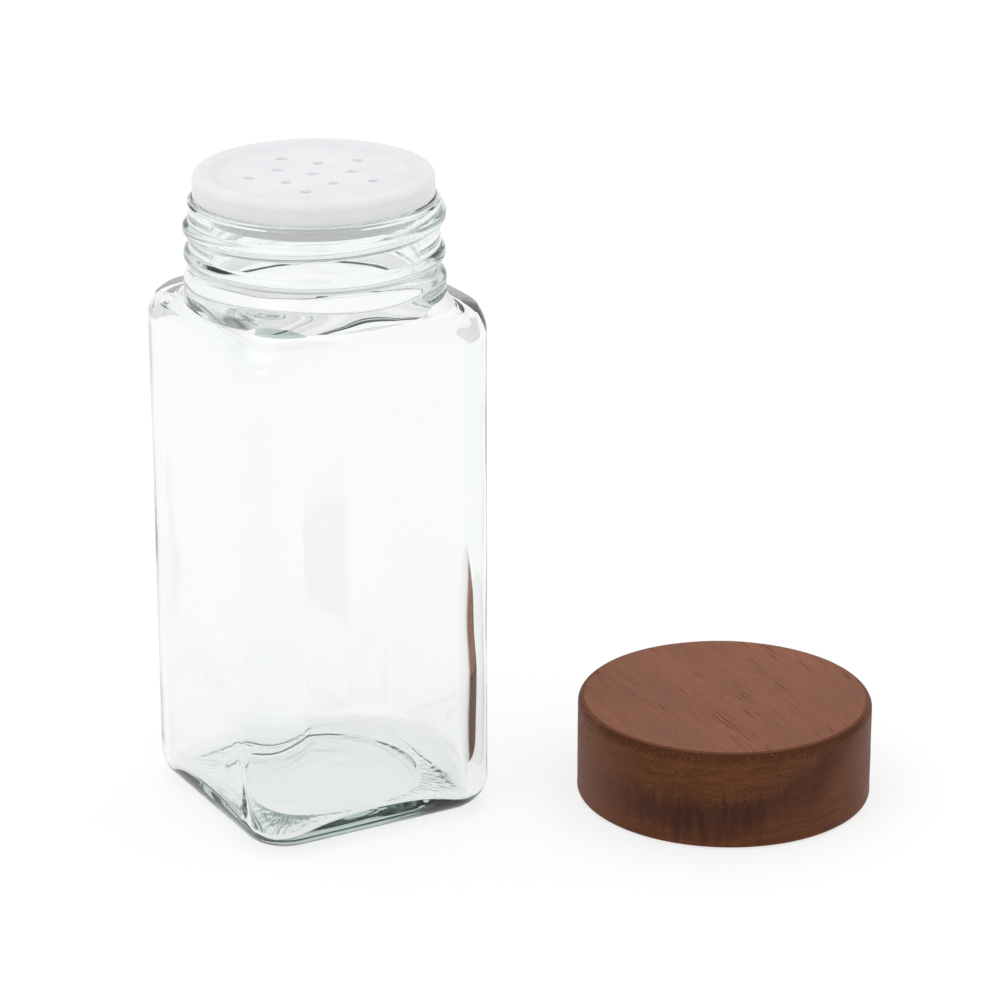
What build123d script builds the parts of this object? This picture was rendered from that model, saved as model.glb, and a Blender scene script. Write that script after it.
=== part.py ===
from build123d import *
import os
from math import cos, sin, pi, radians, sqrt, tan

os.makedirs("parts", exist_ok=True)

# ------------------------------------------------------------------
# Square glass spice jar with a shaker insert and a wooden screw cap.
# Frame: origin at the centre of the jar's base, +Z up along the neck,
# X and Y square to the flat sides. The cap stands on its rim beside
# the jar, on the same surface. All sizes in millimetres.
# ------------------------------------------------------------------

# glass body
BODY_W = 44.5            # across two flat sides
BODY_CORNER_R = 7.8      # vertical corners
BASE_EDGE_R = 5.0        # round between the walls and the base
BODY_WALL = 2.3          # wall thickness
BASE_THICK = 5.2         # glass under the inside floor
PUSH_UP = 1.1            # height of the hollow under the base
PUSH_UP_R = 15.5         # radius of that hollow
SHOULDER_EDGE_Z = 84.2   # slope and corner would meet here if sharp
SHOULDER_TOP_Z = 91.2    # slope and neck would meet here if sharp
SHOULDER_ROUND = 2.6     # round where the slope turns into the walls
NECK_ROUND = 1.5         # hollow round where the slope turns into the neck
SHOULDER_DROP = 2.7      # thickness of the shoulder, measured along Z

# glass neck
NECK_R = 19.80           # root of the thread
BORE_R = 16.80           # inside of the neck
NECK_STEP_Z = 103.25     # the neck steps in here
COLLAR_R = 18.35         # collar inside the insert's skirt
LIP_Z = 106.20           # top of the glass
BEAD_Z = 94.0            # ring below the thread
BEAD_R = 20.95           # outside of that ring
BEAD_ROUND = 1.25

# screw thread, right-handed, six turns to the inch
PITCH = 4.2333
THREAD_TIP_R = 21.05     # outside of the glass ridge
THREAD_ROUND = 1.15      # radius of the ridge's round section
THREAD_FROM_DEG = 100.0  # where the ridge starts, about +Z from +X
THREAD_TURNS = 1.113
THREAD_Z_AT_ZERO = 96.428  # height of the helix at zero degrees

# shaker insert
INS_TOP_Z = 107.40
INS_R = 19.32
INS_SKIRT_Z = 103.47     # lower edge of the skirt
INS_SKIRT_IN_R = 18.50
INS_RIM_IN_R = 17.10     # the rim stands proud of the disc inside this
INS_DISC_TOP_Z = 106.55
INS_UNDER_Z = 106.22     # rests on the glass lip
INS_DISC_UNDER_Z = 105.55
INS_PLUG_R = 16.55       # outside of the plug ring
INS_PLUG_WALL = 0.9
INS_PLUG_Z = 100.4
INS_BEAD_R = 16.72       # gripping bead on the plug ring
HOLE_R = 0.9
HOLE_RING_1 = 6.3
HOLE_RING_2 = 10.4
HOLE_ANGLE = 56.7        # first hole of the inner ring

# cap, standing beside the jar
CAP_X, CAP_Y = 58.53, -32.64
CAP_R = 24.51
CAP_H = 16.63
CAP_TOP_ROUND = 0.85
CAP_RIM_ROUND = 0.60
WOOD_BORE_R = 22.40
WOOD_TOP = 3.0           # wood above the liner
LINER_R = 22.35
LINER_BORE_R = 21.35
LINER_TOP = 0.8
LINER_RIM_Z = 0.30       # the liner ends this far inside the wood's rim
CAP_THREAD_TIP_R = 20.15
CAP_THREAD_HALF = 0.95   # half the ridge's width at its foot
CAP_THREAD_TURNS = 0.94
CAP_THREAD_Z = 1.55      # height of the ridge's lower end above the rim
CAP_THREAD_FROM_DEG = 225.0
SEAL_R = 20.9
SEAL_T = 1.0


def disc(r, z0, z1, x=0.0, y=0.0):
    return Pos(x, y, z0) * Cylinder(r, z1 - z0, align=(Align.CENTER, Align.CENTER, Align.MIN))


def ring_of(points, x=0.0, y=0.0):
    """turned solid from a closed outline of (radius, height) points"""
    face = Plane.XZ * make_face(Polyline(*points, close=True))
    return Pos(x, y, 0) * revolve(face, Axis.Z)


def ridge(centre_r, round_r, z0, turns, from_deg):
    """round-sectioned screw ridge with ball ends, right-handed about +Z"""
    path = Helix(pitch=PITCH, height=PITCH * turns, radius=centre_r)
    start = path @ 0
    section = Plane(origin=start, z_dir=path % 0) * Circle(round_r)
    body = sweep(section, path=path, is_frenet=True)
    for p in (path @ 0, path @ 1):
        body = body + Pos(p.X, p.Y, p.Z) * Sphere(round_r)
    return Pos(0, 0, z0) * Rot(0, 0, from_deg) * body


# ------------------------------------------------------------------ glass jar
slope = (SHOULDER_TOP_Z - SHOULDER_EDGE_Z) / (
    (BODY_W / 2 - BODY_CORNER_R) * sqrt(2) + BODY_CORNER_R - NECK_R
)
corner_reach = (BODY_W / 2 - BODY_CORNER_R) * sqrt(2) + BODY_CORNER_R


def shoulder_z(r, drop=0.0):
    return SHOULDER_TOP_Z + (NECK_R - r) * slope - drop


# rounded-square prism, its lower edge rounded
outer = extrude(RectangleRounded(BODY_W, BODY_W, BODY_CORNER_R), amount=100)
outer = fillet(outer.faces().sort_by(Axis.Z)[0].edges(), BASE_EDGE_R)
# cut by the turned shoulder: a cone about the neck's axis
outer_cone = ring_of([(0, -1), (40, -1), (40, shoulder_z(40)), (NECK_R - 2, shoulder_z(NECK_R - 2)), (0, shoulder_z(NECK_R - 2))])
outer = outer & outer_cone
arch = [e for e in outer.edges() if e.center().Z > SHOULDER_EDGE_Z - 3 and min(sqrt(v.X ** 2 + v.Y ** 2) for v in e.vertices()) > NECK_R and abs((e @ 0).Z - (e @ 0.5).Z) + abs((e @ 0.5).Z - (e @ 1).Z) < 6]
outer = fillet(arch, SHOULDER_ROUND)

# inside: a smaller prism under the same kind of slope
in_w = BODY_W - 2 * BODY_WALL
in_corner = BODY_CORNER_R - BODY_WALL
inner = Pos(0, 0, BASE_THICK) * extrude(RectangleRounded(in_w, in_w, in_corner), amount=90)
inner = fillet(inner.faces().sort_by(Axis.Z)[0].edges(), 3.6)
inner_cone = ring_of([(0, -1), (40, -1), (40, shoulder_z(40, SHOULDER_DROP)), (BORE_R - 2, shoulder_z(BORE_R - 2, SHOULDER_DROP)), (0, shoulder_z(BORE_R - 2, SHOULDER_DROP))])
inner = inner & inner_cone
arch_in = [e for e in inner.edges() if e.center().Z > SHOULDER_EDGE_Z - 8 and min(sqrt(v.X ** 2 + v.Y ** 2) for v in e.vertices()) > BORE_R and abs((e @ 0).Z - (e @ 0.5).Z) + abs((e @ 0.5).Z - (e @ 1).Z) < 6]
inner = fillet(arch_in, 1.6)

# neck, bead ring and lip, turned; the foot of the neck flows into the slope
foot_r = NECK_R + NECK_ROUND
neck = ring_of([
    (0, 88.0), (NECK_R, 88.0), (NECK_R, NECK_STEP_Z - 0.6), (NECK_R - 0.6, NECK_STEP_Z),
    (COLLAR_R, NECK_STEP_Z), (COLLAR_R, LIP_Z - 0.5), (COLLAR_R - 0.5, LIP_Z), (0, LIP_Z),
])
bead_face = Plane.XZ * (Pos(BEAD_R - BEAD_ROUND, BEAD_Z) * Circle(BEAD_ROUND))
bead = revolve(bead_face, Axis.Z)
# hollow round at the foot of the neck
a = slope
z_foot = shoulder_z(NECK_R)
foot = ring_of([
    (NECK_R - 1, z_foot - 2), (NECK_R + 1.6, shoulder_z(NECK_R + 1.6) - 0.4), (NECK_R + 1.6, shoulder_z(NECK_R + 1.6)),
    (NECK_R + 0.75, shoulder_z(NECK_R + 0.75) + 0.28), (NECK_R + 0.25, shoulder_z(NECK_R + 0.25) + 0.72),
    (NECK_R, z_foot + 1.5), (NECK_R - 1, z_foot + 1.5),
])
thread = ridge(THREAD_TIP_R - THREAD_ROUND, THREAD_ROUND,
               THREAD_Z_AT_ZERO + PITCH * THREAD_FROM_DEG / 360.0, THREAD_TURNS, THREAD_FROM_DEG)
bore = disc(BORE_R, 86.0, LIP_Z + 1)
sphere_r = (PUSH_UP_R ** 2 + PUSH_UP ** 2) / (2 * PUSH_UP)
hollow = Pos(0, 0, PUSH_UP - sphere_r) * Sphere(sphere_r)

jar = outer + neck + foot + bead + thread
jar = jar - inner - bore - hollow
lip_in = [e for e in jar.edges().filter_by(GeomType.CIRCLE) if abs(e.center().Z - LIP_Z) < 1e-3 and abs(e.radius - BORE_R) < 1e-3]
jar = fillet(lip_in, 0.5)

# ------------------------------------------------------------------ shaker insert
insert = ring_of([
    (0, INS_DISC_UNDER_Z), (INS_PLUG_R - INS_PLUG_WALL, INS_DISC_UNDER_Z),
    (INS_PLUG_R - INS_PLUG_WALL, INS_PLUG_Z + 0.2), (INS_PLUG_R - 0.75, INS_PLUG_Z), (INS_PLUG_R - 0.35, INS_PLUG_Z),
    (INS_PLUG_R - 0.05, INS_PLUG_Z + 1.0), (INS_BEAD_R, INS_PLUG_Z + 1.8), (INS_PLUG_R, INS_PLUG_Z + 2.6),
    (INS_PLUG_R, INS_UNDER_Z), (INS_SKIRT_IN_R, INS_UNDER_Z), (INS_SKIRT_IN_R, INS_SKIRT_Z + 0.25),
    (INS_SKIRT_IN_R + 0.25, INS_SKIRT_Z), (INS_R - 0.15, INS_SKIRT_Z), (INS_R, INS_SKIRT_Z + 0.15),
    (INS_R, INS_TOP_Z), (INS_RIM_IN_R, INS_TOP_Z), (INS_RIM_IN_R - 0.55, INS_DISC_TOP_Z), (0, INS_DISC_TOP_Z),
])
rim_out = [e for e in insert.edges().filter_by(GeomType.CIRCLE) if abs(e.radius - INS_R) < 1e-3 and abs(e.center().Z - INS_TOP_Z) < 1e-3]
insert = fillet(rim_out, 0.9)
rim_in = [e for e in insert.edges().filter_by(GeomType.CIRCLE) if abs(e.radius - INS_RIM_IN_R) < 1e-3 and abs(e.center().Z - INS_TOP_Z) < 1e-3]
insert = fillet(rim_in, 0.35)
holes = [(0.0, 0.0)]
holes += [(HOLE_RING_1 * cos(radians(HOLE_ANGLE + 72 * i)), HOLE_RING_1 * sin(radians(HOLE_ANGLE + 72 * i))) for i in range(5)]
holes += [(HOLE_RING_2 * cos(radians(HOLE_ANGLE + 36 + 72 * i)), HOLE_RING_2 * sin(radians(HOLE_ANGLE + 36 + 72 * i))) for i in range(5)]
for hx, hy in holes:
    insert = insert - disc(HOLE_R, INS_DISC_UNDER_Z - 1, INS_TOP_Z + 1, hx, hy)

# ------------------------------------------------------------------ cap: wood shell
shell = disc(CAP_R, 0, CAP_H)
shell = fillet(shell.faces().sort_by(Axis.Z)[-1].edges(), CAP_TOP_ROUND)
shell = fillet(shell.faces().sort_by(Axis.Z)[0].edges(), CAP_RIM_ROUND)
shell = shell - disc(WOOD_BORE_R, -1, CAP_H - WOOD_TOP)
mouth = [e for e in shell.edges().filter_by(GeomType.CIRCLE) if abs(e.radius - WOOD_BORE_R) < 1e-3 and abs(e.center().Z) < 1e-3]
shell = chamfer(mouth, 0.25)
shell = Pos(CAP_X, CAP_Y, 0) * shell

# ------------------------------------------------------------------ cap: threaded liner
liner_top = CAP_H - WOOD_TOP
liner_under = liner_top - LINER_TOP
liner = ring_of([
    (LINER_BORE_R, LINER_RIM_Z + 0.3), (LINER_BORE_R + 0.3, LINER_RIM_Z), (LINER_R, LINER_RIM_Z), (LINER_R, liner_top - 0.4), (LINER_R - 0.4, liner_top),
    (0, liner_top), (0, liner_under), (LINER_BORE_R, liner_under),
])
# female ridge: flanks, then a round tip that points inward
cap_path = Helix(pitch=PITCH, height=PITCH * CAP_THREAD_TURNS, radius=LINER_BORE_R)
tip = CAP_THREAD_TIP_R - LINER_BORE_R
low = Polyline((0.25, -CAP_THREAD_HALF), (0, -CAP_THREAD_HALF), (0.625 * tip, -0.65 * CAP_THREAD_HALF))
high = Polyline((0.625 * tip, 0.65 * CAP_THREAD_HALF), (0, CAP_THREAD_HALF), (0.25, CAP_THREAD_HALF))
nose = ThreePointArc((0.625 * tip, -0.65 * CAP_THREAD_HALF), (tip, 0), (0.625 * tip, 0.65 * CAP_THREAD_HALF))
foot_line = Line((0.25, CAP_THREAD_HALF), (0.25, -CAP_THREAD_HALF))
cap_profile = make_face([*low.edges(), nose, *high.edges(), foot_line])
cap_ridge = sweep(Plane(origin=cap_path @ 0, x_dir=(1, 0, 0), z_dir=cap_path % 0) * cap_profile, path=cap_path, is_frenet=True)
cap_ridge = Pos(0, 0, CAP_THREAD_Z) * Rot(0, 0, CAP_THREAD_FROM_DEG) * cap_ridge
liner = liner + cap_ridge
liner = Pos(CAP_X, CAP_Y, 0) * liner

# ------------------------------------------------------------------ cap: sealing disc
seal = disc(SEAL_R, liner_under - SEAL_T, liner_under)
seal = fillet(seal.faces().sort_by(Axis.Z)[0].edges(), 0.25)
seal = Pos(CAP_X, CAP_Y, 0) * seal

for name, shape in {
    "glass_jar": jar,
    "shaker_insert": insert,
    "cap_wood_shell": shell,
    "cap_thread_insert": liner,
    "cap_sealing_disc": seal,
}.items():
    solids = shape.solids()
    print(name, len(solids), "solids", round(sum(s.volume for s in solids) / 1000, 3), "cm3")
    export_step(solids[0] if len(solids) == 1 else Compound(children=list(solids)), "parts/" + name + ".step")
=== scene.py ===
import bpy
import bmesh
import math
import numpy as np
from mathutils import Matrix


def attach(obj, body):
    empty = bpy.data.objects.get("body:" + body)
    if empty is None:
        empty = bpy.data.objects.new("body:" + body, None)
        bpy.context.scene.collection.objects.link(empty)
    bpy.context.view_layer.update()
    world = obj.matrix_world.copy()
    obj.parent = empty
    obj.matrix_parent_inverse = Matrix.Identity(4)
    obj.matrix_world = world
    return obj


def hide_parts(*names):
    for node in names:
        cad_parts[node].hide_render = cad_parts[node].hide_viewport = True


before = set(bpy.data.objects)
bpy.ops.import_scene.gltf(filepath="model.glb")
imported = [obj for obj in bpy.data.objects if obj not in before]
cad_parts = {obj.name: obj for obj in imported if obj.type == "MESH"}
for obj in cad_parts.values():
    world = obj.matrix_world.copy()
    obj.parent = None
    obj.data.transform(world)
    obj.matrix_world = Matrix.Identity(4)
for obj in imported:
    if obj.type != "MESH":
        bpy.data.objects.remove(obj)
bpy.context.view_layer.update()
scene = bpy.context.scene
MM = 0.001
rng = np.random.default_rng(7)

# ---------------------------------------------------------------- sizes, mm, as in the CAD frame
BODY_W, BODY_C = 44.5, 7.8
NECK_R, BORE_R = 19.80, 16.80
LIP_Z, STEP_Z, COLLAR_R = 106.20, 103.25, 18.35
EDGE_Z, TOP_Z = 84.2, 91.2
REACH = (BODY_W / 2 - BODY_C) * math.sqrt(2) + BODY_C
SLOPE = (TOP_Z - EDGE_Z) / (REACH - NECK_R)
PITCH, HELIX_0 = 4.2333, 96.428
CAP = (58.53, -32.64)
CAP_R, CAP_H = 24.51, 16.63


# ---------------------------------------------------------------- small helpers
def smooth_min(a, b, k):
    h = np.clip(0.5 + 0.5 * (b - a) / k, 0, 1)
    return b * (1 - h) + a * h - k * h * (1 - h)


def smooth_max(a, b, k):
    return -smooth_min(-a, -b, k)


def step(a, b, x):
    t = np.clip((x - a) / (b - a), 0, 1)
    return t * t * (3 - 2 * t)


def square(theta, a, c):
    """polar radius of a rounded square, half width a and corner radius c"""
    t = np.mod(theta + math.pi / 4, math.pi / 2) - math.pi / 4
    t = np.abs(t)
    flat = a / np.cos(t)
    b = a - c
    root = np.sqrt(np.maximum(c * c - b * b * (1 - np.sin(2 * t)), 0))
    corner = b * (np.cos(t) + np.sin(t)) + root
    return np.where(flat * np.sin(t) <= b, flat, corner)


class Waves:
    """a smooth seeded wobble over angle and height"""

    def __init__(self, seed, n, most_turns, longest, shortest):
        r = np.random.default_rng(seed)
        self.k = r.integers(0, most_turns + 1, n)
        self.w = 2 * math.pi / r.uniform(shortest, longest, n)
        self.p = r.uniform(0, 2 * math.pi, n)
        self.a = r.normal(0, 1, n) / math.sqrt(n)

    def __call__(self, theta, z):
        out = 0
        for k, w, p, a in zip(self.k, self.w, self.p, self.a):
            out = out + a * np.cos(k * theta + w * z + p)
        return out


def mesh_from_rings(name, rings, first_pole=None, last_pole=None, closed=False):
    """quads between rings of the same count, fans at the poles; points in mm"""
    n = len(rings[0])
    co = np.concatenate([np.asarray(r, float) for r in rings])
    faces = []
    rows = len(rings)
    j = np.arange(n)
    j2 = (j + 1) % n
    for i in range(rows - (0 if closed else 1)):
        a, b = i * n, ((i + 1) % rows) * n
        faces.append(np.stack([a + j, a + j2, b + j2, b + j], 1))
    quads = np.concatenate(faces).tolist()
    extra = []
    if first_pole is not None:
        co = np.vstack([co, first_pole])
        p = len(co) - 1
        extra += [(p, int(b), int(a)) for a, b in zip(j, j2)]
    if last_pole is not None:
        co = np.vstack([co, last_pole])
        p = len(co) - 1
        base = (rows - 1) * n
        extra += [(p, int(base + a), int(base + b)) for a, b in zip(j, j2)]
    faces = [tuple(q) for q in quads] + extra
    me = bpy.data.meshes.new(name)
    me.from_pydata((co * MM).tolist(), [], faces)
    me.validate()
    me.update()
    # faces look outwards, so that glass is glass on the right side
    tri = np.array([(f[0], f[i], f[i + 1]) for f in faces for i in range(1, len(f) - 1)])
    if np.einsum("ij,ij->i", co[tri[:, 0]], np.cross(co[tri[:, 1]], co[tri[:, 2]])).sum() < 0:
        me.flip_normals()
    ob = bpy.data.objects.new(name, me)
    scene.collection.objects.link(ob)
    for p in me.polygons:
        p.use_smooth = True
    return ob


def lathe_rings(profile, n, centre=(0, 0), wobble=None):
    """rings of a turned shape from (radius, height) points"""
    t = np.linspace(0, 2 * math.pi, n, endpoint=False)
    rings = []
    for r, z in profile:
        rr = np.full(n, float(r))
        zz = np.full(n, float(z))
        if wobble is not None:
            rr, zz = wobble(t, rr, zz)
        rings.append(np.stack([centre[0] + rr * np.cos(t), centre[1] + rr * np.sin(t), zz], 1))
    return rings


def arc(cx, cy, r, a0, a1, n):
    """points on an arc, degrees"""
    a = np.radians(np.linspace(a0, a1, n))
    return [(cx + r * math.cos(x), cy + r * math.sin(x)) for x in a]


def line(p, q, n, ends=True):
    t = np.linspace(0, 1, n)
    if not ends:
        t = t[1:-1]
    return [(p[0] + (q[0] - p[0]) * x, p[1] + (q[1] - p[1]) * x) for x in t]


# ---------------------------------------------------------------- glass jar
def build_jar():
    n = 384
    th = np.linspace(0, 2 * math.pi, n, endpoint=False)
    th = th + 0.55 / 4 * np.sin(4 * th)          # closer together round the corners
    c, s = np.cos(th), np.sin(th)
    deg = np.degrees(th)
    a_out = BODY_W / 2
    skin = Waves(11, 9, 5, 70, 22)
    inner_wave = Waves(23, 14, 6, 60, 14)
    rings = []

    def put(r, z):
        rings.append(np.stack([r * c, r * s, np.broadcast_to(z, r.shape)], 1))

    # underside: hollow, then the stippled bearing ring, then the edge round
    up, up_r = 1.1, 15.5
    sph = (up_r ** 2 + up ** 2) / (2 * up)
    ring_out = square(th, a_out - 5.0, BODY_C - 5.0 * 0.84)
    stipple = np.random.default_rng(3)
    for f in (0.12, 0.25, 0.4, 0.55, 0.7, 0.8, 0.87, 0.92, 0.95, 0.97, 0.985, 0.995):
        r = up_r * f
        z = 0.62 * (up - (sph - math.sqrt(sph * sph - r * r))) + 0.42 * (1 - float(step(0.88, 1.0, f)))
        put(np.full(n, r), z)
    put(np.full(n, up_r + 0.1), 0.0)
    rows = 7
    for i in range(1, rows + 1):
        r = up_r + 0.1 + (ring_out - up_r - 0.1) * i / (rows + 1)
        put(r, 0.13 * stipple.uniform(0, 1, n) * np.clip((ring_out - up_r - 0.4) / 2.0, 0.15, 1))
    for a in np.linspace(0, 90, 17):
        x = math.radians(a)
        inset = 5.0 * (1 - math.sin(x))
        z = 5.0 * (1 - math.cos(x))
        put(square(th, a_out - inset, BODY_C - inset * 0.84), z)
    # walls, shoulder, neck
    zs = list(np.arange(7.5, 80.0, 4.2)) + list(np.arange(81.6, 91.0, 0.38)) + list(np.arange(91.0, STEP_Z - 0.55, 0.2))
    wall = square(th, a_out, BODY_C)
    for z in zs:
        cone = NECK_R + (TOP_Z - z) / SLOPE
        r = smooth_min(wall, np.full(n, cone), 2.4) if z < 95 else np.full(n, NECK_R)
        if z > 82:
            r = smooth_max(r, np.full(n, NECK_R), 1.3) - (0.0)
            r = np.minimum(r, wall)
        if 88 < z:
            # bead ring
            d = abs(z - 94.0)
            ball = 20.95 - 1.25 + math.sqrt(max(1.25 ** 2 - d * d, 0)) if d < 1.25 else 0.0
            r = smooth_max(r, np.full(n, ball), 0.3)
            # screw ridge
            for wind in (0, 1, 2):
                ang = deg + 360 * wind
                zc = HELIX_0 + PITCH * ang / 360.0
                d = z - zc
                fade = step(92, 122, ang) * (1 - step(478, 506, ang))
                high = 1.15 * np.sqrt(np.maximum(1 - (d / 1.2) ** 2, 0)) * fade + 0.1 * fade
                r = smooth_max(r, np.where(np.abs(d) < 1.2, NECK_R + high, 0.0) * (fade > 0), 0.3)
        r = r + 0.035 * skin(th, z) * step(8, 20, z) * (1 - step(70, 84, z)) - 0.035 * step(8, 20, z) * (1 - step(70, 84, z))
        put(np.minimum(r, np.where(z < 86, wall, 21.04)), z)
    # top of the neck, collar and lip
    for r, z in arc(NECK_R - 0.55, STEP_Z - 0.55, 0.55, 0, 90, 6):
        put(np.full(n, r), z)
    for r, z in ((COLLAR_R + 0.35, STEP_Z), (COLLAR_R + 0.08, STEP_Z + 0.08), (COLLAR_R, STEP_Z + 0.35), (COLLAR_R, 104.6)):
        put(np.full(n, r), z)
    for r, z in arc(COLLAR_R - 0.5, LIP_Z - 0.5, 0.5, 0, 90, 6):
        put(np.full(n, r), z)
    for r, z in arc(BORE_R + 0.5, LIP_Z - 0.5, 0.5, 90, 180, 6):
        put(np.full(n, r), z)
    # bore, inside of the shoulder, inside walls: rounder inside than outside, so thicker in the corners
    inner_a = BODY_W / 2 - 2.3

    near = np.exp(-(((np.degrees(th) - 224) / 17.0) ** 2))
    others = 5.52 + 0.68 * np.exp(-(((np.degrees(th) - 315) / 20.0) ** 2))

    def inner_c(z):
        return others + near * (2.5 - 0.9 * math.exp(-((z - 39) / 7) ** 2)) * (1 - float(step(73, 82, z))) * float(step(4, 22, z))

    # the inside of the shoulder is softer than the outside, most of all over the two sides away from the cap
    soft = 6.0 + 1.7 * np.exp(-(((deg - 195) / 55.0) ** 2)) + 0.8 * np.exp(-(((deg - 275) / 35.0) ** 2)) - 2.6 * np.exp(-(((deg - 318) / 24.0) ** 2)) - 2.4 * np.exp(-(((deg - 136) / 22.0) ** 2))
    z_in = list(np.arange(104.6, 92.5, -1.5)) + list(np.arange(92.0, 90.6, -0.5)) + list(np.arange(90.5, 81.0, -0.28)) + list(np.arange(80.9, 74.0, -0.9)) + list(np.arange(73.0, 8.0, -3.2))
    for z in z_in:
        inside = square(th, inner_a, inner_c(z))
        cone = BORE_R + (TOP_Z - z + (NECK_R - BORE_R) * SLOPE - 2.7) / SLOPE
        r = smooth_min(inside, np.full(n, cone), soft)
        r = smooth_max(r, np.full(n, BORE_R), 2.4)
        if z > 93:
            r = np.full(n, BORE_R)
        r = r + 0.085 * inner_wave(th, z) * step(10, 24, z) * (1 - step(78, 88, z))
        put(np.minimum(r, inside + 0.16), z)
    # floor: lowest in the corners, nearly flat in the middle
    low_c = inner_c(8.0)
    rise = 1.0 - (square(th, inner_a, low_c) - inner_a) / ((inner_a - low_c) * math.sqrt(2) + low_c - inner_a)
    floor = 2.5 + 1.9 * np.clip(rise, 0, 1) ** 0.8
    fr = 1.15
    for a in np.linspace(6, 90, 13):
        x = math.radians(a)
        inset = fr * (1 - math.cos(x))
        put(square(th, inner_a - inset, low_c - inset * 0.6) + 0.03 * inner_wave(th, 10), floor + fr * (1 - math.sin(x)))
    edge = square(th, inner_a - fr, low_c - fr * 0.6)
    for f in (0.96, 0.91, 0.86, 0.8, 0.73, 0.64, 0.53, 0.4, 0.25, 0.1):
        w = step(0.55, 1.0, f)
        rr = edge * f * w + f * float(edge.mean()) * (1 - w)
        put(rr, floor * w + 4.45 * (1 - w) + 0.03 * np.cos(3 * th + 5 * f))
    ob = mesh_from_rings("glass_jar_body", rings, first_pole=(0, 0, up), last_pole=(0, 0, 4.45))
    return ob


# ---------------------------------------------------------------- shaker insert
def build_insert():
    n = 192
    p = []
    top, rim_in, dtop, dund = 107.40, 17.10, 106.55, 105.55
    p += line((0.45, dtop), (14.6, dtop), 9)
    p += [(14.6 + 2.7 * t, dtop + 0.80 * float(step(0, 1, t))) for t in np.linspace(0.1, 1.0, 10)]
    p += [(17.6, top - 0.02), (17.9, top)]
    p += arc(19.32 - 1.3, top - 1.3, 1.3, 88, 6, 11)
    p += [(19.27, 105.75), (19.24, 105.5), (19.28, 105.3)]
    p += line((19.32, 105.1), (19.32, 103.8), 4)
    p += arc(19.32 - 0.17, 103.47 + 0.17, 0.17, 0, -90, 4)
    p += arc(18.50 + 0.2, 103.47 + 0.2, 0.2, -90, -180, 4)
    p += line((18.50, 104.2), (18.50, 106.1), 3)
    p += [(18.45, 106.2), (18.3, 106.22)]
    p += [(17.4, 106.22), (16.7, 106.22), (16.58, 106.15)]
    p += line((16.55, 105.9), (16.55, 103.2), 4)
    p += [(16.62, 102.6), (16.70, 102.2), (16.62, 101.8), (16.5, 101.3), (16.35, 100.8), (16.2, 100.5), (16.0, 100.4), (15.85, 100.42), (15.72, 100.55)]
    p += line((15.65, 100.9), (15.65, 105.1), 5)
    p += [(15.6, 105.35), (15.45, 105.5), (15.2, 105.55)]
    p += line((14.2, dund), (0.45, dund), 10)
    waves = Waves(5, 6, 3, 60, 30)

    def wobble(t, r, z):
        return r, z + np.where(r < 15.5, 0.02 * waves(t, r * 0.5), 0)

    ob = mesh_from_rings("shaker_body", lathe_rings(p, n, wobble=wobble), first_pole=(0, 0, dtop), last_pole=(0, 0, dund))
    return ob


def cut_holes(ob, places, radius, z_low, z_high):
    """pouring holes with slightly rounded mouths"""
    co, faces = [], []
    m = 28
    prof = [(0.0, z_low - 0.6), (radius + 0.30, z_low - 0.6), (radius + 0.12, z_low - 0.02), (radius + 0.04, z_low + 0.05), (radius, z_low + 0.14),
            (radius, z_high - 0.14), (radius + 0.04, z_high - 0.05), (radius + 0.12, z_high + 0.02), (radius + 0.30, z_high + 0.6), (0.0, z_high + 0.6)]
    for k, (x, y) in enumerate(places):
        base = len(co)
        # turned a little, so that no corner of a hole lies on one of the disc's own radial lines
        t = np.linspace(0, 2 * math.pi, m, endpoint=False) + 0.1 * k + 0.00234
        for r, z in prof[1:-1]:
            co += [(x + r * math.cos(a), y + r * math.sin(a), z) for a in t]
        rows = len(prof) - 2
        for i in range(rows - 1):
            for j in range(m):
                j2 = (j + 1) % m
                faces.append((base + i * m + j, base + i * m + j2, base + (i + 1) * m + j2, base + (i + 1) * m + j))
        faces.append(tuple(base + j for j in reversed(range(m))))
        faces.append(tuple(base + (rows - 1) * m + j for j in range(m)))
    me = bpy.data.meshes.new("cutter")
    me.from_pydata((np.array(co) * MM).tolist(), [], faces)
    cutter = bpy.data.objects.new("cutter", me)
    scene.collection.objects.link(cutter)
    mod = ob.modifiers.new("holes", "BOOLEAN")
    mod.operation, mod.object, mod.solver = "DIFFERENCE", cutter, "EXACT"
    dg = bpy.context.evaluated_depsgraph_get()
    made = bpy.data.meshes.new_from_object(ob.evaluated_get(dg))
    ob.modifiers.clear()
    old = ob.data
    ob.data = made
    made.name = ob.name
    bpy.data.meshes.remove(old)
    bpy.data.objects.remove(cutter)
    for p in ob.data.polygons:
        p.use_smooth = True
    ob.data.set_sharp_from_angle(angle=math.radians(38))


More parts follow.
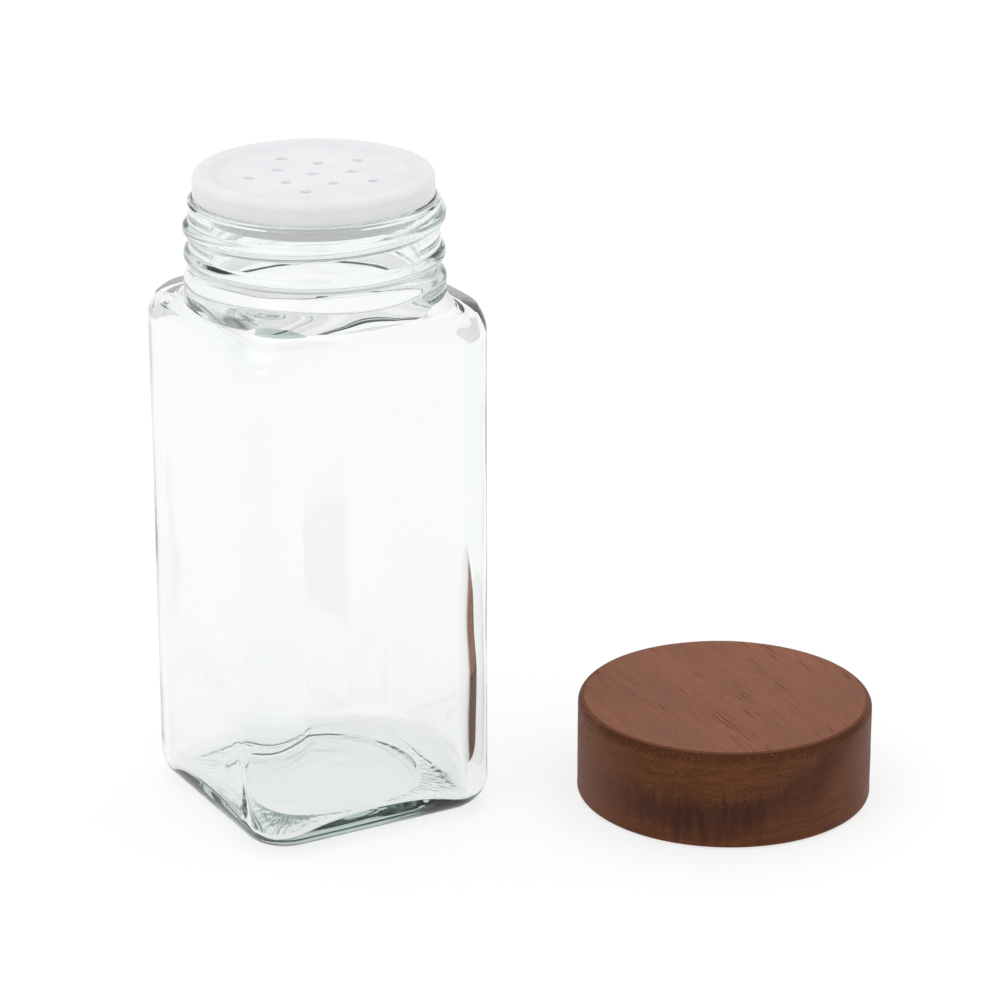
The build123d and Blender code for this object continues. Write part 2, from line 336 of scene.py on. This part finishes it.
# ---------------------------------------------------------------- wooden cap
def build_wood():
    n = 256
    R, H = CAP_R, CAP_H
    bore, ceil = 22.40, 13.63
    p = []
    p += line((1.5, H), (R - 1.9, H), 14)
    p += arc(R - 1.25, H - 1.25, 1.25, 89, 0, 13)
    p += line((R, H - 1.9), (R, 1.3), 22)
    p += arc(R - 0.6, 0.6, 0.6, 0, -90, 7)
    p += [(R - 1.0, 0.0), (bore + 0.45, 0.0), (bore + 0.25, 0.0), (bore + 0.06, 0.08), (bore, 0.25)]
    p += line((bore, 1.0), (bore, ceil - 0.3), 6)
    p += [(bore - 0.05, ceil - 0.06), (bore - 0.3, ceil)]
    p += line((bore - 2, ceil), (1.5, ceil), 6)
    side = Waves(31, 10, 7, 40, 6)
    chips = Waves(41, 40, 60, 9, 2)

    def wobble(t, r, z):
        outer = r > R - 1.3
        edge = outer & (z > H - 1.35)
        d = np.where(outer & (z > 0.7), 0.018 * np.clip(side(t, z), -2, 1.5) - 0.032, 0)
        d = d + np.where(edge, -0.05 * np.maximum(chips(t, z) - 0.6, 0), 0)
        dz = np.where((z > H - 0.9), 0.012 * side(t * 2, r * 1.3) - 0.014, 0)
        return r + d, z + dz

    return mesh_from_rings("cap_wood_body", lathe_rings(p, n, CAP, wobble), first_pole=(CAP[0], CAP[1], H - 0.01), last_pole=(CAP[0], CAP[1], ceil))


def build_liner():
    n = 216
    bore, out, under, top, rim = 21.35, 22.35, 12.83, 13.63, 0.30
    th = np.linspace(0, 2 * math.pi, n, endpoint=False)
    deg = np.degrees(th)
    rings = []

    def put(r, z):
        rings.append(np.stack([CAP[0] + r * np.cos(th), CAP[1] + r * np.sin(th), np.full(n, float(z))], 1))

    for r in (2, 6, 10, 14, 18, 20.4):
        put(np.full(n, float(r)), under)
    put(np.full(n, bore - 0.25), under)
    put(np.full(n, bore - 0.05), under - 0.08)
    z = under - 0.3
    while z > 0.75:
        r = np.full(n, bore)
        for wind in (0, 1):
            ang = deg + 360 * wind - 225.0
            fade = step(-8, 14, ang) * (1 - step(326, 348, ang))
            zc = 1.55 + PITCH * ang / 360
            d = np.abs(z - zc)
            high = 1.18 * fade * np.clip(1.35 * (1 - d / 1.05), 0, 1) ** 0.8
            r = r - high * (d < 1.05)
        put(r, z)
        z -= 0.16
    for r, zz in ((bore, 0.68), (bore + 0.04, 0.48), (bore + 0.2, 0.34), (bore + 0.35, rim), (out - 0.2, rim), (out - 0.05, rim + 0.05), (out, rim + 0.25)):
        put(np.full(n, r), zz)
    for zz in (4, 8, 12, top - 0.4):
        put(np.full(n, out), zz)
    put(np.full(n, out - 0.4), top)
    for r in (18.0, 12.0, 6.0, 2.0):
        put(np.full(n, r), top)
    return mesh_from_rings("cap_liner_body", rings, first_pole=(CAP[0], CAP[1], under), last_pole=(CAP[0], CAP[1], top))


def build_seal():
    n = 160
    lo, hi, R = 11.83, 12.83, 20.9
    w = Waves(77, 10, 9, 9, 3)
    p = [(1.5, lo + 0.03)] + line((4, lo + 0.03), (16.2, lo + 0.03), 9)
    p += [(16.7, lo + 0.05), (17.1, lo + 0.12), (17.6, lo + 0.16), (18.6, lo + 0.16), (19.1, lo + 0.12), (19.5, lo + 0.04), (20.0, lo + 0.02)]
    p += arc(R - 0.25, lo + 0.27, 0.25, -90, 0, 5)
    p += [(R, hi - 0.15), (R - 0.04, hi - 0.04), (R - 0.15, hi)]
    p += line((18, hi), (1.5, hi), 5)

    def wobble(t, r, z):
        return r, z + np.where(z < lo + 0.3, 0.012 * w(t, r), 0)

    return mesh_from_rings("cap_seal_body", lathe_rings(p, n, CAP, wobble), first_pole=(CAP[0], CAP[1], lo + 0.03), last_pole=(CAP[0], CAP[1], hi))


# ---------------------------------------------------------------- material helpers
def new_material(name):
    m = bpy.data.materials.new(name)
    m.use_nodes = True
    nt = m.node_tree
    nt.nodes.clear()
    out = nt.nodes.new("ShaderNodeOutputMaterial")
    return m, nt, out


def node(nt, kind, **values):
    x = nt.nodes.new(kind)
    for k, v in values.items():
        if k in x.inputs.keys():
            x.inputs[k].default_value = v
        else:
            setattr(x, k, v)
    return x


def ramp(nt, source, stops, interpolation="LINEAR"):
    r = nt.nodes.new("ShaderNodeValToRGB")
    r.color_ramp.interpolation = interpolation
    e = r.color_ramp.elements
    while len(e) > 1:
        e.remove(e[-1])
    e[0].position = stops[0][0]
    e[0].color = stops[0][1]
    for pos, col in stops[1:]:
        x = e.new(pos)
        x.color = col
    nt.links.new(source, r.inputs[0])
    return r.outputs[0]


def mix(nt, fac, a, b, blend="MIX"):
    m = nt.nodes.new("ShaderNodeMix")
    m.data_type = "RGBA"
    m.blend_type = blend
    for sock, v in ((m.inputs[0], fac), (m.inputs[6], a), (m.inputs[7], b)):
        if hasattr(v, "links"):
            nt.links.new(v, sock)
        elif isinstance(v, (int, float)):
            sock.default_value = v
        else:
            sock.default_value = (*v, 1) if len(v) == 3 else v
    return m.outputs[2]


def maths(nt, op, a, b=None, c=None, clamp=False):
    m = nt.nodes.new("ShaderNodeMath")
    m.operation = op
    m.use_clamp = clamp
    for sock, v in zip(m.inputs, (a, b, c)):
        if v is None:
            continue
        if hasattr(v, "links"):
            nt.links.new(v, sock)
        else:
            sock.default_value = v
    return m.outputs[0]


def grey(v):
    return (v, v, v, 1)


def placed(nt, scale=(1, 1, 1), rotate=(0, 0, 0), shift=(0, 0, 0)):
    tc = nt.nodes.new("ShaderNodeTexCoord")
    mp = node(nt, "ShaderNodeMapping")
    mp.inputs["Scale"].default_value = scale
    mp.inputs["Rotation"].default_value = rotate
    mp.inputs["Location"].default_value = shift
    nt.links.new(tc.outputs["Object"], mp.inputs["Vector"])
    return mp.outputs[0]


def noise_tex(nt, vec, scale, detail=4, rough=0.5, distortion=0.0):
    x = node(nt, "ShaderNodeTexNoise", Scale=scale, Detail=detail, Roughness=rough, Distortion=distortion)
    nt.links.new(vec, x.inputs["Vector"])
    return x.outputs[0]


# ---------------------------------------------------------------- glass
def glass_material():
    m, nt, out = new_material("clear_glass")
    b = node(nt, "ShaderNodeBsdfPrincipled", IOR=1.52, Roughness=0.0)
    b.inputs["Base Color"].default_value = (1, 1, 1, 1)
    b.inputs["Transmission Weight"].default_value = 1.0
    b.inputs["Specular IOR Level"].default_value = 0.5
    vec = placed(nt, (1, 1, 0.55))
    smear = noise_tex(nt, vec, 55, 3, 0.6)
    rough = ramp(nt, smear, [(0.45, grey(0.0)), (0.75, grey(0.035))])
    nt.links.new(rough, b.inputs["Roughness"])
    fine = noise_tex(nt, vec, 160, 2, 0.5)
    wide = noise_tex(nt, vec, 45, 2, 0.5)
    h = maths(nt, "ADD", maths(nt, "MULTIPLY", wide, 0.8), maths(nt, "MULTIPLY", fine, 0.12))
    bump = node(nt, "ShaderNodeBump", Strength=0.22, Distance=0.0008)
    nt.links.new(h, bump.inputs["Height"])
    nt.links.new(bump.outputs[0], b.inputs["Normal"])
    nt.links.new(b.outputs[0], out.inputs["Surface"])
    v = node(nt, "ShaderNodeVolumeAbsorption", Density=30.0)
    v.inputs["Color"].default_value = (0.46, 0.62, 0.56, 1)
    nt.links.new(v.outputs[0], out.inputs["Volume"])
    return m


# ---------------------------------------------------------------- milky plastic
def insert_material():
    m, nt, out = new_material("insert_plastic")
    b = node(nt, "ShaderNodeBsdfPrincipled", IOR=1.49)
    vec = placed(nt)
    cloud = noise_tex(nt, vec, 140, 4, 0.55)
    col = ramp(nt, cloud, [(0.3, (0.775, 0.757, 0.795, 1)), (0.7, (0.820, 0.804, 0.836, 1))])
    nt.links.new(col, b.inputs["Base Color"])
    r = ramp(nt, noise_tex(nt, vec, 420, 3, 0.6), [(0.3, grey(0.30)), (0.7, grey(0.44))])
    nt.links.new(r, b.inputs["Roughness"])
    b.inputs["Subsurface Weight"].default_value = 0.6
    b.inputs["Subsurface Radius"].default_value = (0.0027, 0.0026, 0.0028)
    b.inputs["Subsurface Scale"].default_value = 1.0
    b.inputs["Specular IOR Level"].default_value = 0.4
    bump = node(nt, "ShaderNodeBump", Strength=0.10, Distance=0.0003)
    nt.links.new(noise_tex(nt, vec, 2600, 3, 0.6), bump.inputs["Height"])
    nt.links.new(bump.outputs[0], b.inputs["Normal"])
    nt.links.new(b.outputs[0], out.inputs["Surface"])
    return m


# ---------------------------------------------------------------- oiled wood, solid pattern through the block
def wood_material():
    m, nt, out = new_material("cap_wood")
    b = node(nt, "ShaderNodeBsdfPrincipled", IOR=1.48)
    # block axes: x across the fibres, y along the fibres, z up
    block = placed(nt, (1, 1, 1), (0, 0, math.radians(5)))
    # slow bend of the fibres
    bend = noise_tex(nt, placed(nt, (1, 0.35, 1)), 28, 2, 0.5)
    sep = node(nt, "ShaderNodeSeparateXYZ")
    nt.links.new(block, sep.inputs[0])
    bent_x = maths(nt, "ADD", sep.outputs[0], maths(nt, "MULTIPLY", maths(nt, "SUBTRACT", bend, 0.5), 0.006))
    bent_z = maths(nt, "ADD", sep.outputs[2], maths(nt, "MULTIPLY", maths(nt, "SUBTRACT", bend, 0.5), 0.0035))
    comb = node(nt, "ShaderNodeCombineXYZ")
    nt.links.new(bent_x, comb.inputs[0])
    nt.links.new(sep.outputs[1], comb.inputs[1])
    nt.links.new(bent_z, comb.inputs[2])
    v = comb.outputs[0]

    def along(scale, squeeze, detail=3, rough=0.55, shift=(0, 0, 0)):
        mp = node(nt, "ShaderNodeMapping")
        mp.inputs["Scale"].default_value = (1, squeeze, 1)
        mp.inputs["Location"].default_value = shift
        nt.links.new(v, mp.inputs["Vector"])
        return noise_tex(nt, mp.outputs[0], scale, detail, rough)

    # broad tone, streaks along the fibres, fine fibre
    broad = along(60, 0.12, 3, 0.5)
    streak = along(420, 0.035, 4, 0.6)
    fibre = along(2400, 0.03, 3, 0.6)
    tone = mix(nt, 0.5, broad, streak)
    base = ramp(nt, tone, [(0.30, (0.190, 0.066, 0.033, 1)), (0.50, (0.258, 0.096, 0.050, 1)), (0.72, (0.315, 0.122, 0.066, 1))])
    base = mix(nt, ramp(nt, fibre, [(0.35, grey(0.0)), (0.75, grey(0.35))]), base, (0.34, 0.145, 0.085), "MIX")
    # open pores: short dark dashes on long grain, dots on end grain
    pore = along(3700, 0.042, 1, 0.4, (3.1, 1.7, 0.4))
    gate = along(260, 0.20, 2, 0.5, (1.3, 0.2, 5.0))
    dash = maths(nt, "MULTIPLY", ramp(nt, pore, [(0.585, grey(0)), (0.70, grey(1))]), ramp(nt, gate, [(0.42, grey(0.12)), (0.64, grey(1))]))
    base = mix(nt, maths(nt, "MULTIPLY", dash, 0.85), base, (0.085, 0.030, 0.018))
    # purplish clouds in the oil and tiny dull specks
    cloud = noise_tex(nt, placed(nt, (1, 0.45, 1), (0, 0, 0), (0.4, 0.1, 0.9)), 95, 4, 0.6)
    base = mix(nt, ramp(nt, cloud, [(0.38, grey(0.0)), (0.66, grey(0.50))]), base, (0.190, 0.078, 0.052))
    speck = noise_tex(nt, placed(nt, (1, 0.6, 1)), 4200, 2, 0.6)
    base = mix(nt, ramp(nt, speck, [(0.30, grey(0.55)), (0.50, grey(0.0))]), base, (0.130, 0.046, 0.026))
    # end grain drinks the oil and goes darker: how far the surface faces along the fibres
    own = nt.nodes.new("ShaderNodeTexCoord")
    nrm = node(nt, "ShaderNodeSeparateXYZ")
    nt.links.new(own.outputs["Normal"], nrm.inputs[0])
    flat = maths(nt, "ABSOLUTE", nrm.outputs[2])
    side = maths(nt, "SUBTRACT", 1.0, flat, clamp=True)
    level_part = maths(nt, "SQRT", maths(nt, "MULTIPLY_ADD", nrm.outputs[0], nrm.outputs[0], maths(nt, "MULTIPLY_ADD", nrm.outputs[1], nrm.outputs[1], 0.000001)))
    facing = maths(nt, "DIVIDE", maths(nt, "ABSOLUTE", maths(nt, "MULTIPLY_ADD", nrm.outputs[0], 0.42, maths(nt, "MULTIPLY", nrm.outputs[1], 0.91))), level_part)
    end = ramp(nt, facing, [(0.36, grey(0)), (0.60, grey(0.55)), (0.80, grey(1))])
    # growth layers: rings round a line of pith 41 mm above the table, so they sag across the end grain
    dx = maths(nt, "SUBTRACT", bent_x, 0.047)
    dz = maths(nt, "SUBTRACT", bent_z, 0.041)
    ringr = maths(nt, "SQRT", maths(nt, "ADD", maths(nt, "MULTIPLY", dx, dx), maths(nt, "MULTIPLY", dz, dz)))
    ragged = noise_tex(nt, placed(nt, (1, 1, 0.16), (0, 0, 0), (0.3, 0.9, 0.2)), 420, 4, 0.65)
    q = maths(nt, "ADD", maths(nt, "MULTIPLY", ringr, 25.0), maths(nt, "MULTIPLY", maths(nt, "SUBTRACT", ragged, 0.5), 0.11))
    layer = ramp(nt, q, [(0.58, (0.128, 0.040, 0.012, 1)), (0.66, (0.115, 0.036, 0.010, 1)), (0.76, (0.106, 0.033, 0.010, 1)), (0.815, (0.096, 0.030, 0.011, 1)), (0.85, (0.060, 0.019, 0.010, 1)),
                         (0.91, (0.062, 0.019, 0.010, 1)), (0.955, (0.098, 0.031, 0.012, 1)), (1.0, (0.115, 0.037, 0.013, 1))])
    # the dark layer is strong in the middle of the block and thins out towards its sides
    middle = ramp(nt, maths(nt, "MULTIPLY", maths(nt, "ABSOLUTE", dx), 40.0), [(0.20, grey(1)), (0.42, grey(0.45)), (0.60, grey(0.12))])
    layer = mix(nt, middle, mix(nt, 0.35, layer, (0.122, 0.040, 0.020)), layer)
    # vertical rays and blotches, thin level streaks, and fine golden flecks in the lighter layers
    blot = noise_tex(nt, placed(nt, (1, 1, 0.15)), 700, 4, 0.68)
    level = noise_tex(nt, placed(nt, (0.12, 0.12, 1), (0, 0, 0), (0.1, 0.5, 0.3)), 1300, 3, 0.6)
    darkband = ramp(nt, q, [(0.76, grey(0.14)), (0.85, grey(1.0)), (0.94, grey(0.85)), (1.0, grey(0.30))])
    darkband = maths(nt, "MULTIPLY", darkband, maths(nt, "MULTIPLY_ADD", middle, 0.8, 0.2))
    sidecol = mix(nt, maths(nt, "MULTIPLY", ramp(nt, blot, [(0.40, grey(1.0)), (0.56, grey(0.0))]), darkband), layer, (0.036, 0.012, 0.008))
    sidecol = mix(nt, ramp(nt, level, [(0.42, grey(0.42)), (0.58, grey(0.0))]), sidecol, (0.048, 0.014, 0.006))
    fleck = noise_tex(nt, placed(nt, (0.8, 0.8, 1.5), (0, 0, 0), (0.7, 0.2, 0.1)), 3400, 2, 0.6)
    light_layers = ramp(nt, q, [(0.60, grey(0.9)), (0.80, grey(1.0)), (0.87, grey(0.2)), (1.0, grey(0.25))])
    gold = maths(nt, "MULTIPLY", ramp(nt, fleck, [(0.57, grey(0)), (0.68, grey(1))]), light_layers)
    sidecol = mix(nt, maths(nt, "MULTIPLY", gold, 0.34), sidecol, (0.30, 0.125, 0.038))
    # side-grain faces: mixed 45% towards dark brown, so the sides come out darker than the top face
    sidegrain = mix(nt, 0.45, mix(nt, 0.30, base, layer), (0.085, 0.028, 0.015))
    sideways = mix(nt, end, sidegrain, sidecol)
    # rounded edge: dark where the end grain starts, a thin light line painted on as a highlight, then a dark flecked
    # line under it
    # noise that makes the edge bands ragged, the painted highlight line among them
    edge_jitter = noise_tex(nt, placed(nt, (1, 1, 1), (0, 0, 0), (0.2, 0.4, 0.6)), 240, 3, 0.6)
    tilt = maths(nt, "ADD", side, maths(nt, "MULTIPLY", maths(nt, "SUBTRACT", edge_jitter, 0.5), 0.05))
    # the light stop at tilt 0.105 is a painted highlight line along the rounded edge
    edge_line = ramp(nt, tilt, [(0.020, (0.185, 0.066, 0.033, 1)), (0.050, (0.105, 0.030, 0.013, 1)), (0.085, (0.105, 0.032, 0.014, 1)), (0.105, (0.175, 0.066, 0.036, 1)), (0.14, (0.140, 0.048, 0.023, 1)), (0.185, (0.066, 0.018, 0.005, 1)), (1.0, (0.070, 0.020, 0.006, 1))])
    edge_line = mix(nt, maths(nt, "MULTIPLY", ramp(nt, fleck, [(0.55, grey(0)), (0.66, grey(1))]), ramp(nt, tilt, [(0.2, grey(0)), (0.35, grey(0.42))])), edge_line, (0.26, 0.10, 0.03))
    front = ramp(nt, end, [(0.02, grey(0.30)), (0.35, grey(1.0))])
    geo_z = node(nt, "ShaderNodeSeparateXYZ")
    nt.links.new(placed(nt), geo_z.inputs[0])
    ragged_z = maths(nt, "MULTIPLY_ADD", maths(nt, "SUBTRACT", ragged, 0.5), 0.0012, geo_z.outputs[2])
    near_top = ramp(nt, maths(nt, "MULTIPLY", ragged_z, 50.0), [(0.725, grey(0)), (0.775, grey(1))])
    col = mix(nt, ramp(nt, side, [(0.004, grey(0)), (0.022, grey(1))]), base, mix(nt, near_top, sideways, mix(nt, front, sideways, edge_line)))
    nt.links.new(col, b.inputs["Base Color"])
    # satin oil: pores stay duller
    ro = mix(nt, dash, ramp(nt, streak, [(0.3, grey(0.50)), (0.7, grey(0.62))]), grey(0.8))
    nt.links.new(ro, b.inputs["Roughness"])
    b.inputs["Specular IOR Level"].default_value = 0.12
    h = maths(nt, "SUBTRACT", maths(nt, "MULTIPLY", fibre, 0.35), maths(nt, "MULTIPLY", dash, 0.9))
    h = maths(nt, "ADD", h, maths(nt, "MULTIPLY", blot, maths(nt, "MULTIPLY", side, 0.5)))
    bump = node(nt, "ShaderNodeBump", Strength=0.35, Distance=0.00025)
    nt.links.new(h, bump.inputs["Height"])
    nt.links.new(bump.outputs[0], b.inputs["Normal"])
    nt.links.new(b.outputs[0], out.inputs["Surface"])
    return m


def liner_material():
    m, nt, out = new_material("liner_plastic")
    b = node(nt, "ShaderNodeBsdfPrincipled", IOR=1.49)
    vec = placed(nt)
    col = ramp(nt, noise_tex(nt, vec, 180, 4, 0.6), [(0.3, (0.74, 0.74, 0.72, 1)), (0.7, (0.83, 0.83, 0.81, 1))])
    nt.links.new(col, b.inputs["Base Color"])
    nt.links.new(ramp(nt, noise_tex(nt, vec, 700, 3, 0.6), [(0.3, grey(0.28)), (0.7, grey(0.42))]), b.inputs["Roughness"])
    bump = node(nt, "ShaderNodeBump", Strength=0.12, Distance=0.0003)
    nt.links.new(noise_tex(nt, vec, 2200, 3, 0.6), bump.inputs["Height"])
    nt.links.new(bump.outputs[0], b.inputs["Normal"])
    nt.links.new(b.outputs[0], out.inputs["Surface"])
    return m


def seal_material():
    m, nt, out = new_material("seal_foam")
    b = node(nt, "ShaderNodeBsdfPrincipled", IOR=1.45)
    vec = placed(nt)
    cells = node(nt, "ShaderNodeTexVoronoi", Scale=2300.0)
    nt.links.new(vec, cells.inputs["Vector"])
    tone = mix(nt, 0.5, noise_tex(nt, vec, 260, 4, 0.6), ramp(nt, cells.outputs["Distance"], [(0.0, grey(0.2)), (0.6, grey(1))]))
    nt.links.new(ramp(nt, tone, [(0.3, (0.72, 0.72, 0.68, 1)), (0.7, (0.86, 0.86, 0.83, 1))]), b.inputs["Base Color"])
    nt.links.new(ramp(nt, tone, [(0.3, grey(0.72)), (0.7, grey(0.9))]), b.inputs["Roughness"])
    bump = node(nt, "ShaderNodeBump", Strength=0.35, Distance=0.0002)
    nt.links.new(cells.outputs["Distance"], bump.inputs["Height"])
    nt.links.new(bump.outputs[0], b.inputs["Normal"])
    nt.links.new(b.outputs[0], out.inputs["Surface"])
    return m


# ---------------------------------------------------------------- the pieces
jar = build_jar()
jar.data.materials.append(glass_material())
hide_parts("glass_jar")
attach(jar, "jar")

insert = build_insert()
HOLES = [(0.0, 0.0)]
HOLES += [(6.3 * math.cos(math.radians(56.7 + 72 * i)), 6.3 * math.sin(math.radians(56.7 + 72 * i))) for i in range(5)]
HOLES += [(10.4 * math.cos(math.radians(92.7 + 72 * i)), 10.4 * math.sin(math.radians(92.7 + 72 * i))) for i in range(5)]
cut_holes(insert, HOLES, 0.9, 105.55, 106.55)
insert.data.materials.clear()
insert.data.materials.append(insert_material())
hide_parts("shaker_insert")
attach(insert, "shaker")

wood = build_wood()
wood.data.materials.append(wood_material())
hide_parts("cap_wood_shell")
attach(wood, "cap")

liner = build_liner()
liner.data.materials.append(liner_material())
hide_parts("cap_thread_insert")
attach(liner, "cap")

seal = build_seal()
seal.data.materials.append(seal_material())
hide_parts("cap_sealing_disc")
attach(seal, "cap_disc")

# ---------------------------------------------------------------- floor, light, camera
me = bpy.data.meshes.new("floor")
S = 20.0
rim = [(S * math.cos(2 * math.pi * i / 128), S * math.sin(2 * math.pi * i / 128), -0.0002) for i in range(128)]
me.from_pydata(rim, [], [tuple(range(128))])
floor = bpy.data.objects.new("floor", me)
scene.collection.objects.link(floor)
m, nt, out = new_material("floor_white")
# one plain white all over: it glows a little and takes soft shade from the object
em = node(nt, "ShaderNodeEmission", Strength=0.70)
em.inputs[0].default_value = (1, 1, 1, 1)
df = node(nt, "ShaderNodeBsdfDiffuse")
df.inputs[0].default_value = (0.32, 0.32, 0.32, 1)
add = nt.nodes.new("ShaderNodeAddShader")
nt.links.new(em.outputs[0], add.inputs[0])
nt.links.new(df.outputs[0], add.inputs[1])
nt.links.new(add.outputs[0], out.inputs["Surface"])
me.materials.append(m)

world = bpy.data.worlds.new("studio")
scene.world = world
world.use_nodes = True
nt = world.node_tree
nt.nodes.clear()
wout = nt.nodes.new("ShaderNodeOutputWorld")
bg = nt.nodes.new("ShaderNodeBackground")
tc = nt.nodes.new("ShaderNodeTexCoord")
# a soft room, the same all round: dimmer along the horizon, brighter overhead
high = node(nt, "ShaderNodeSeparateXYZ")
nt.links.new(tc.outputs["Generated"], high.inputs[0])
shade = ramp(nt, high.outputs[2], [(0.0, grey(0.76)), (0.18, grey(0.80)), (0.38, grey(0.90)), (0.60, grey(0.94)), (0.80, grey(1.10))])
nt.links.new(shade, bg.inputs["Color"])
nt.links.new(bg.outputs[0], wout.inputs["Surface"])


def softbox(name, at, to, size_x, size_y, power):
    d = bpy.data.lights.new(name, "AREA")
    d.shape, d.size, d.size_y, d.energy = "RECTANGLE", size_x, size_y, power
    o = bpy.data.objects.new(name, d)
    scene.collection.objects.link(o)
    from mathutils import Vector
    o.location = at
    o.rotation_euler = (Vector(to) - Vector(at)).to_track_quat("-Z", "Y").to_euler()
    return o


softbox("key", (-0.75, -0.25, 0.85), (0.02, -0.01, 0.06), 0.55, 0.55, 0.9)

cam_data = bpy.data.cameras.new("camera")
cam = bpy.data.objects.new("camera", cam_data)
scene.collection.objects.link(cam)
cam.location = (-0.26838, -0.53813, 0.27541)
cam.rotation_euler = (math.pi / 2 - 0.3571, 0, -0.5118)
cam_data.lens = 141.2
cam_data.sensor_width = 36.0
cam_data.clip_start, cam_data.clip_end = 0.01, 50
scene.camera = cam

scene.view_settings.view_transform = "Standard"
scene.view_settings.look = "None"
scene.cycles.max_bounces = 32
scene.cycles.transmission_bounces = 24
scene.cycles.glossy_bounces = 12
scene.cycles.diffuse_bounces = 5
scene.cycles.transparent_max_bounces = 16
scene.cycles.volume_bounces = 0
scene.cycles.caustics_reflective = True
scene.cycles.caustics_refractive = True
scene.cycles.blur_glossy = 0.3
scene.cycles.sample_clamp_indirect = 8.0
